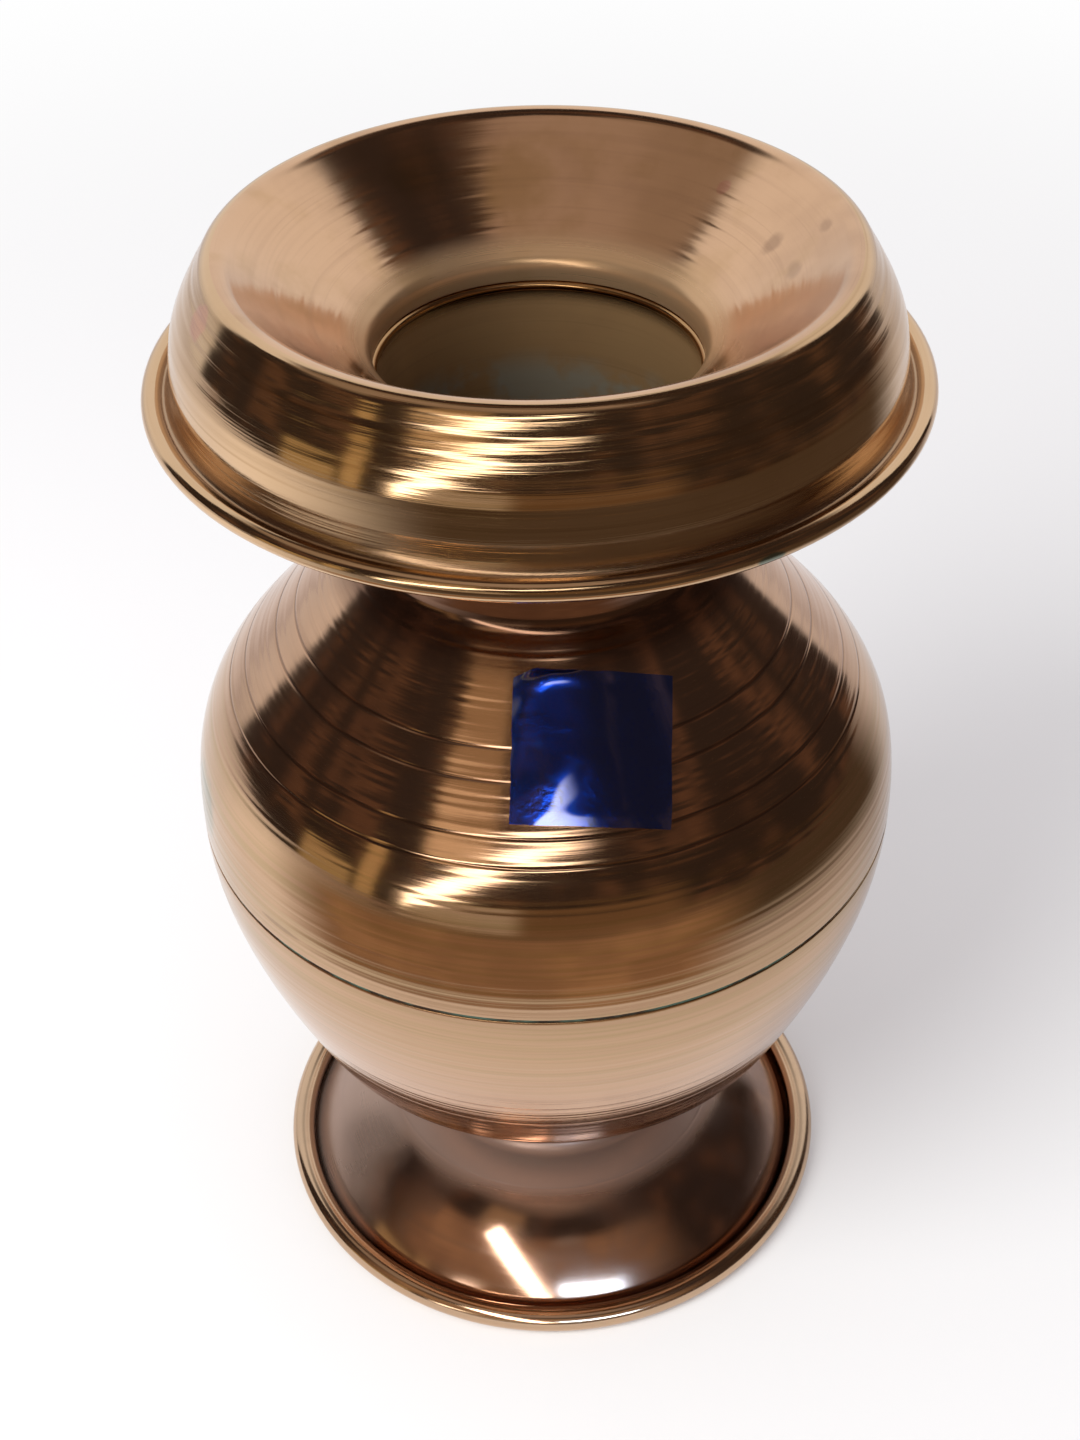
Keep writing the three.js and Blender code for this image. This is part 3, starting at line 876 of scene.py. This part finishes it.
finished(turned("foot_spun", softened(foot_section())), "foot", foot_copper)
finished(turned("foot_wire", wire_section()), "foot_edge_wire", foot_copper)
finished(turned("bowl_spun", softened(bowl_section())), "lower_bowl", copper)
finished(turned("body_spun", softened(upper_body_section())), "upper_body", copper)
finished(turned("neck_rolled", softened(neck_section())), "neck_tube", throat_copper)
funnel = turned("funnel_spun", softened(funnel_section(), joint=CREST_RADIUS))
finished(funnel, "mouth_funnel", funnel_copper)
collar = turned("collar_spun", softened(collar_section(), joint=CREST_RADIUS))
finished(collar, "rim_collar", golden)


# Filler metal and label

def seam_section():
    """The filler in the seam, a little below the metal on both sides of it."""
    inner = BELLY_RADIUS - BODY_SHEET
    outer = BELLY_RADIUS - SEAM_DEPTH
    half = (BELLY_EDGE - LEDGE) / 2 - SEAM_CLOSING + SEAM_OVERLAP
    bottom = SEAM - half
    top = SEAM + half
    return np.array([spot(inner, bottom), spot(outer, bottom), spot(outer, top), spot(inner, top)])


def filler_ring(name, node, section):
    """A ring of filler metal, from the corners of its section."""
    finished(turned(name, np.array(section, float)), node, filler_metal)


STEM_SIDE = STEM_RADIUS + FILLER_GAP
NECK_SIDE = NECK_BORE + NECK_SHEET + FILLER_GAP

filler_ring("seam_filler", "seam_braze", softened(seam_section(), rounding=SEAM_ROUNDING))
filler_ring("foot_filler", "foot_braze", [
    (STEM_SIDE, FOOT_TOP),
    (reach("foot_braze"), FOOT_TOP),
    (STEM_SIDE, low("foot_braze")),
])
filler_ring("neck_filler", "neck_braze", [
    (NECK_SIDE, low("neck_braze")),
    (reach("neck_braze"), low("neck_braze")),
    (NECK_SIDE, high("neck_braze")),
])
filler_ring("throat_filler", "throat_braze", [
    (NECK_SIDE, low("throat_braze")),
    (reach("throat_braze"), low("throat_braze")),
    (reach("throat_braze"), high("throat_braze")),
    (NECK_SIDE, high("throat_braze")),
])


def creased(across, down):
    """The height of the foil's creases: each is a rounded ridge, a bell curve of the distance from its line,
    that fades along it."""
    lift = np.zeros_like(across)
    for x, y, direction, height, width in LABEL_CREASES:
        turn = np.radians(direction)
        off = (across - x) * np.sin(turn) + (down - y) * np.cos(turn)
        along = (across - x) * np.cos(turn) - (down - y) * np.sin(turn)
        lift += height * np.exp(-(off / width) ** 2 - (along / CREASE_REACH) ** 2)
    return lift


def label_outline():
    """The flat label's points, across and down from its middle, in rows from its upper edge. Its edges
    wander a little, and its upper left corner is cut."""
    share = np.linspace(0, 1, LABEL_STEPS + 1)
    wander = [LABEL_WANDER * hills(share * LABEL_HEIGHT, pitch, seed) for seed, pitch in LABEL_EDGES]
    cut = LABEL_CORNER[0] * np.clip(1 - share * LABEL_HEIGHT / LABEL_CORNER[1], 0, 1)
    left = wander[0] - LABEL_WIDTH / 2 + cut
    right = wander[1] + LABEL_WIDTH / 2
    upper = wander[2] - LABEL_HEIGHT / 2
    lower = wander[3] + LABEL_HEIGHT / 2
    across = left[:, None] * (1 - share) + right[:, None] * share
    down = upper * (1 - share[:, None]) + lower * share[:, None]
    return across, down


def label_layers():
    """The foil's underside and top, bent round the shoulder: the shoulder unrolls as a cone, and the foil's
    places (across, down) give a distance from the cone's centre and an angle round it."""
    line, curve = upper_body_line()
    run = run_of(line)
    shoulder_run = run[len(curve) - 1]
    across, down = label_outline()
    crease = creased(across, down)
    turn = np.radians(LABEL_TURN)
    slope = np.sin(np.radians(SHOULDER_SLOPE))
    x = across * np.cos(turn) - down * np.sin(turn)
    y = across * np.sin(turn) + down * np.cos(turn) + LABEL_RADIUS / slope
    slant = np.hypot(x, y)
    bearing = np.radians(LABEL_BEARING) + np.arctan2(x, y) / slope
    at = shoulder_run + SHOULDER_RADIUS / slope - slant
    radius = np.interp(at, run, line[:, 0])
    height = np.interp(at, run, line[:, 1])
    normals = -left_of(line)
    out_r = np.interp(at, run, normals[:, 0])
    out_z = np.interp(at, run, normals[:, 1])
    layers = []
    for lift in (LABEL_LIFT, LABEL_LIFT + LABEL_FOIL):
        r = radius + out_r * (lift + crease)
        z = height + out_z * (lift + crease)
        layers.append(np.stack([r * np.sin(bearing), -r * np.cos(bearing), z], axis=2).reshape(-1, 3))
    return layers


def label_piece():
    """The foil's underside, its top and the strip round its edge."""
    bottom, top = label_layers()
    size = LABEL_STEPS + 1
    faces = grid_faces(size, size, False, False)
    count = size * size
    index = np.arange(count).reshape(size, size)
    border = np.concatenate([index[0, :-1], index[:-1, -1], index[-1, :0:-1], index[:0:-1, 0]])
    following = np.roll(border, -1)
    rim = np.stack([border, following, following + count, border + count], axis=1)
    every = faces.tolist() + (faces[:, ::-1] + count).tolist() + rim.tolist()
    return mesh_piece("blank_label", np.vstack([bottom, top]), every)


finished(label_piece(), "label_sticker", blue_foil)
filler_ring("lip_filler", "lip_braze", [
    (reach("lip_braze") - FILLER_GAP, low("lip_braze")),
    (reach("lip_braze") - LIP_WEDGE_HALF, high("lip_braze")),
    (reach("lip_braze") - LIP_WEDGE_HALF * 2, low("lip_braze") + LIP_WEDGE_RISE),
])


# Camera, with its place and directions from the ellipses of the lip, brim, seam and foot in the photograph

camera_data = bpy.data.cameras.new("camera")
camera_data.sensor_width = 36
camera_data.lens = 51.559
camera_data.clip_start = 0.01
camera = bpy.data.objects.new("camera", camera_data)
bpy.context.scene.collection.objects.link(camera)
camera_right = Vector((0.99985, -0.00905, -0.01506))
camera_up = Vector((0.01739, 0.63135, 0.77531))
camera_back = Vector((0.00249, -0.77545, 0.63141))
camera_place = Matrix.Translation((0.0, -0.2124, 0.25301))
camera.matrix_world = camera_place @ Matrix((camera_right, camera_up, camera_back)).transposed().to_4x4()
bpy.context.scene.camera = camera


# Studio: its sizes and places are metres, its bearings and climbs degrees as seen from the vessel

WHITE = colour(1, 1, 1)
FLOOR_PALE = colour(0.97, 0.95, 0.965)
FLOOR_REACH = 3
DUSK = colour(0.1, 0.072, 0.05)
DUSK_FROM_LEFT = (-100, -25)
DUSK_FROM_RIGHT = (133, 108)
DUSK_OUT = (0.045, 0.26)
FLOOR_TURNS_WHITE = (0.14, 0.56)
FLOOR_WHITE_AT_FOOT = 0.08

# What the polished metal mirrors: each card or panel has its bearings, its climbs, the softness of its edges
# and its brightness, and later ones lie over earlier ones
FLAG = colour(0.04, 0.03, 0.026)
BROWN_WALL = colour(0.15, 0.085, 0.055)
ROOM = (
    # Haze before the vessel
    ((-42, 40), (-30, 13), 14, colour(0.2, 0.125, 0.07)),
    # Pale card at the left
    ((-44, -9), (-14, 10), 7, colour(0.5, 0.44, 0.36)),
    # Golden card
    ((-78, -60), (-28, 9), 3, colour(0.52, 0.4, 0.22)),
    # Narrow warm card
    ((-58, -52), (-6, 24), 2, colour(0.6, 0.45, 0.24)),
    # Dim card at the upper left
    ((-122, -70), (46, 78), 10, colour(0.36, 0.29, 0.235)),
    # Dim card overhead
    ((-88, 58), (60, 90), 16, colour(0.44, 0.36, 0.31)),
    # Warm panel
    ((-43, -19), (33, 56), 5, colour(0.4, 0.29, 0.18)),
    # Lower part of the warm panel
    ((-42, -20), (28, 40), 4, colour(0.9, 0.72, 0.5)),
)

# Streak of light: its middle climbs by a parabola of the bearing, and it narrows to the right
STREAK_BRIGHT = colour(5.5, 5.3, 4.9)
STREAK_CLIMB = 38
STREAK_LEAN = 0.28
STREAK_BEND = 0.0122
STREAK_HALF_WIDTH = 5.2
STREAK_NARROWING = 2.6
STREAK_NARROWS = (-30, 12)
STREAK_EDGE = (1.2, 0.7)
STREAK_LEFT = (-44, -40)
STREAK_RIGHT = (20, 4)

# White backdrop behind the vessel, dimmer low down. Its right side leans.
BACKDROP_TOP = (52, 46)
BACKDROP_LEFT = (-116.5, -119.5)
BACKDROP_RIGHT_LOW = 130
BACKDROP_RIGHT_HIGH = 118
BACKDROP_LEANS = (8, 36)
BACKDROP_RIGHT_EDGE = (-1.5, 1.5)
BACKDROP_PALES = (0, 17)
BACKDROP_DIM_LEFT = colour(0.83, 0.83, 0.83)
BACKDROP_DIM_RIGHT = colour(0.8, 0.79, 0.8)

DOME_REACH = 1.6
DOME_MIDDLE = 0.1
DOME_CLIMBS = (-3.4, 89.5)
DOME_ROWS = 40
DOME_COLUMNS = 96

# Glowing brown card round the foot's front: painted light that only the metal mirrors
CARD_REACH = 0.1
CARD_HEIGHTS = (0.012, 0.088)
CARD_BEARINGS = (-76, 56)
CARD_FADE = 26
CARD_SOLID_HEIGHTS = (0.03, 0.072)
CARD_COLUMNS = 40
CARD_DARK = colour(0.33, 0.21, 0.13)
CARD_LIGHT = colour(0.46, 0.3, 0.18)

# Small lamps over the foot: name, start, end, width, the way it faces, tint and brightness
LAMP_SPREAD = 105
STRIP_LAMPS = (
    ("foot_streak", (-0.0285, -0.0575, 0.0445), (-0.0037, -0.0936, 0.0168), 0.0095,
     (0, 0.61, -0.79), (1, 0.97, 0.93), 4.5),
    ("foot_gleam", (0.0025, -0.085, 0.0235), (0.034, -0.079, 0.0205), 0.007,
     (0, 0.7, -0.71), (0.45, 0.7, 1), 8),
    ("foot_glint", (-0.0425, -0.0442, 0.0444), (-0.0385, -0.0412, 0.0394), 0.005,
     (0.15, 0.15, -0.98), (1, 0.72, 0.42), 2),
)

WORLD_LIGHT = colour(1.0, 0.985, 1.0)
WORLD_FILL = 0.66


def stage_object(name, points, faces, material):
    """A part of the studio, which isn't part of the vessel. Its points are in metres."""
    mesh = bpy.data.meshes.new(name)
    mesh.from_pydata(points, [], faces)
    mesh.materials.append(material)
    made = bpy.data.objects.new(name, mesh)
    bpy.context.scene.collection.objects.link(made)
    return made


def mirrored_only(made):
    """Leaves a part of the studio to the metal's reflections alone."""
    made.visible_camera = False
    made.visible_diffuse = False
    made.visible_shadow = False
    made.visible_transmission = False
    made.data.materials[0].cycles.emission_sampling = "NONE"


def pale_floor():
    """A pale, matt floor with the vessel's shadow, which turns plain white for the camera away from it. In
    the metal's reflections it fades to dusk towards the front, where the studio's light ends."""
    paint = Paint("pale_floor")
    reach_out = paint.radius()
    turn = paint.bearing()
    dusk = turn.rise(*DUSK_FROM_LEFT) * turn.rise(*DUSK_FROM_RIGHT) * reach_out.rise(*DUSK_OUT)
    pale = paint.node("ShaderNodeBsdfDiffuse", inputs={"Color": FLOOR_PALE})
    mirrored = paint.blend(dusk * paint.light_path("Is Glossy Ray"), pale, paint.light(DUSK))
    away = reach_out.rise(*FLOOR_TURNS_WHITE) * (1 - FLOOR_WHITE_AT_FOOT) + FLOOR_WHITE_AT_FOOT
    return paint.show(paint.blend(away * paint.light_path("Is Camera Ray"), mirrored, paint.light(WHITE)))


floor_corners = [(x * FLOOR_REACH, y * FLOOR_REACH, 0) for x, y in ((-1, -1), (1, -1), (1, 1), (-1, 1))]
stage_object("floor", floor_corners, [(0, 1, 2, 3)], pale_floor())


def studio_light():
    """The flags, cards, light streak and backdrop, each laid over the ones before it."""
    paint = Paint("studio_flags")
    turn = paint.bearing()
    climb = paint.z.math("ARCTAN2", paint.z, paint.radius()) * np.degrees(1)
    shade = paint.mix(paint.noise(paint.place, scale=3.4, detail=4).rise(0.46, 0.7), FLAG, BROWN_WALL)
    for (left, right), (bottom, top), soft, bright in ROOM:
        half = soft / 2
        across = turn.rise(left - half, left + half) * turn.rise(right + half, right - half)
        upright = climb.rise(bottom - half, bottom + half) * climb.rise(top + half, top - half)
        shade = paint.mix(across * upright, shade, bright)
    middle = turn * STREAK_LEAN - turn * turn * STREAK_BEND + STREAK_CLIMB
    half_width = STREAK_HALF_WIDTH - turn.rise(*STREAK_NARROWS) * STREAK_NARROWING
    streak = ((climb - middle).size() / half_width).rise(*STREAK_EDGE)
    shade = paint.mix(streak * turn.rise(*STREAK_LEFT) * turn.rise(*STREAK_RIGHT), shade, STREAK_BRIGHT)
    leaning = BACKDROP_RIGHT_LOW - climb.rise(*BACKDROP_LEANS) * (BACKDROP_RIGHT_LOW - BACKDROP_RIGHT_HIGH)
    under = climb.rise(*BACKDROP_TOP)
    left_side = turn.rise(*BACKDROP_LEFT)
    right_side = (turn - leaning).rise(*BACKDROP_RIGHT_EDGE)
    for side, dim in ((left_side, BACKDROP_DIM_LEFT), (right_side, BACKDROP_DIM_RIGHT)):
        shade = paint.mix(under * side, shade, paint.mix(climb.rise(*BACKDROP_PALES), dim, WHITE))
    return paint.show(paint.light(shade))


def studio_dome():
    """The dome that carries the studio's light. A point's distance from the axis is the reach times the
    cosine of its climb, and its height is the reach times the sine."""
    bearings = np.linspace(0, 2 * np.pi, DOME_COLUMNS, endpoint=False)
    climbs = np.radians(np.linspace(*DOME_CLIMBS, DOME_ROWS))[:, None]
    ring = DOME_REACH * np.cos(climbs)
    heights = DOME_REACH * np.sin(climbs) + np.zeros_like(bearings)
    points = np.stack([ring * np.sin(bearings), -ring * np.cos(bearings), heights], axis=2).reshape(-1, 3)
    faces = grid_faces(DOME_ROWS, DOME_COLUMNS, False, True).tolist()
    dome = stage_object("studio_dome", points, faces, studio_light())
    dome.location.z = DOME_MIDDLE
    mirrored_only(dome)


def brown_card():
    """A glowing brown card of painted light with soft edges, which fades out at its sides, its foot and its
    top.
    """
    paint = Paint("brown_card")
    shade = paint.mix(paint.noise(paint.place, scale=28).rise(0.4, 0.7), CARD_DARK, CARD_LIGHT)
    turn = paint.bearing()
    left, right = CARD_BEARINGS
    across = turn.rise(left, left + CARD_FADE) * turn.rise(right, right - CARD_FADE)
    bottom, top = CARD_HEIGHTS
    solid_bottom, solid_top = CARD_SOLID_HEIGHTS
    upright = paint.z.rise(bottom, solid_bottom) * paint.z.rise(top, solid_top)
    clear = paint.node("ShaderNodeBsdfTransparent")
    return paint.show(paint.blend(across * upright, clear, paint.light(shade)))


def low_card():
    """A card bent round the front of the foot, which the metal mirrors in place of the backdrop."""
    bearings = np.radians(np.linspace(*CARD_BEARINGS, CARD_COLUMNS))
    heights = np.array(CARD_HEIGHTS)[:, None] + np.zeros_like(bearings)
    reach_out = np.full_like(heights, CARD_REACH)
    points = np.stack([reach_out * np.sin(bearings), -reach_out * np.cos(bearings), heights], axis=2)
    faces = grid_faces(2, CARD_COLUMNS, False, False).tolist()
    mirrored_only(stage_object("low_flag", points.reshape(-1, 3), faces, brown_card()))


studio_dome()
low_card()


# Lamps

def strip_lamp(name, start, end, width, facing, tint, bright):
    """A small one-sided lamp that only the metal mirrors: a rectangle from one place to another, in metres.
    Its power is its brightness times its area times pi."""
    start = Vector(start)
    end = Vector(end)
    along = (end - start).normalized()
    out = Vector(facing)
    out = (out - along * out.dot(along)).normalized()
    data = bpy.data.lights.new(name, "AREA")
    data.shape = "RECTANGLE"
    data.size = width
    data.size_y = (end - start).length
    data.energy = bright * data.size * data.size_y * np.pi
    data.color = tint
    data.spread = np.radians(LAMP_SPREAD)
    made = bpy.data.objects.new(name, data)
    turned_to = Matrix((along.cross(-out), along, -out)).transposed().to_4x4()
    made.matrix_world = Matrix.Translation((start + end) / 2) @ turned_to
    made.visible_camera = False
    made.visible_diffuse = False
    bpy.context.scene.collection.objects.link(made)


for strip in STRIP_LAMPS:
    strip_lamp(*strip)

# A soft lamp at the upper left, which the metal doesn't mirror
lamp_data = bpy.data.lights.new("soft_lamp", "AREA")
lamp_data.shape = "DISK"
lamp_data.size = 0.5
lamp_data.energy = 4.7
lamp_data.color = (0.96, 1.0, 0.97)
lamp = bpy.data.objects.new("soft_lamp", lamp_data)
lamp.location = (-0.43, -0.39, 0.56)
lamp.rotation_euler = (Vector((0, 0, 0.05)) - lamp.location).to_track_quat("-Z", "Y").to_euler()
lamp.visible_glossy = False
bpy.context.scene.collection.objects.link(lamp)

# A white world, dimmer as a light than as a background
world = bpy.data.worlds.new("studio")
bpy.context.scene.world = world
world.use_nodes = True
backdrop = world.node_tree.nodes["Background"]
rays = world.node_tree.nodes.new("ShaderNodeLightPath")
brightness = world.node_tree.nodes.new("ShaderNodeMapRange")
brightness.inputs["To Min"].default_value = 1.0
brightness.inputs["To Max"].default_value = WORLD_FILL
world.node_tree.links.new(rays.outputs["Is Diffuse Ray"], brightness.inputs["Value"])
world.node_tree.links.new(brightness.outputs[0], backdrop.inputs["Strength"])
backdrop.inputs["Color"].default_value = WORLD_LIGHT

bpy.context.scene.view_settings.view_transform = "Standard"
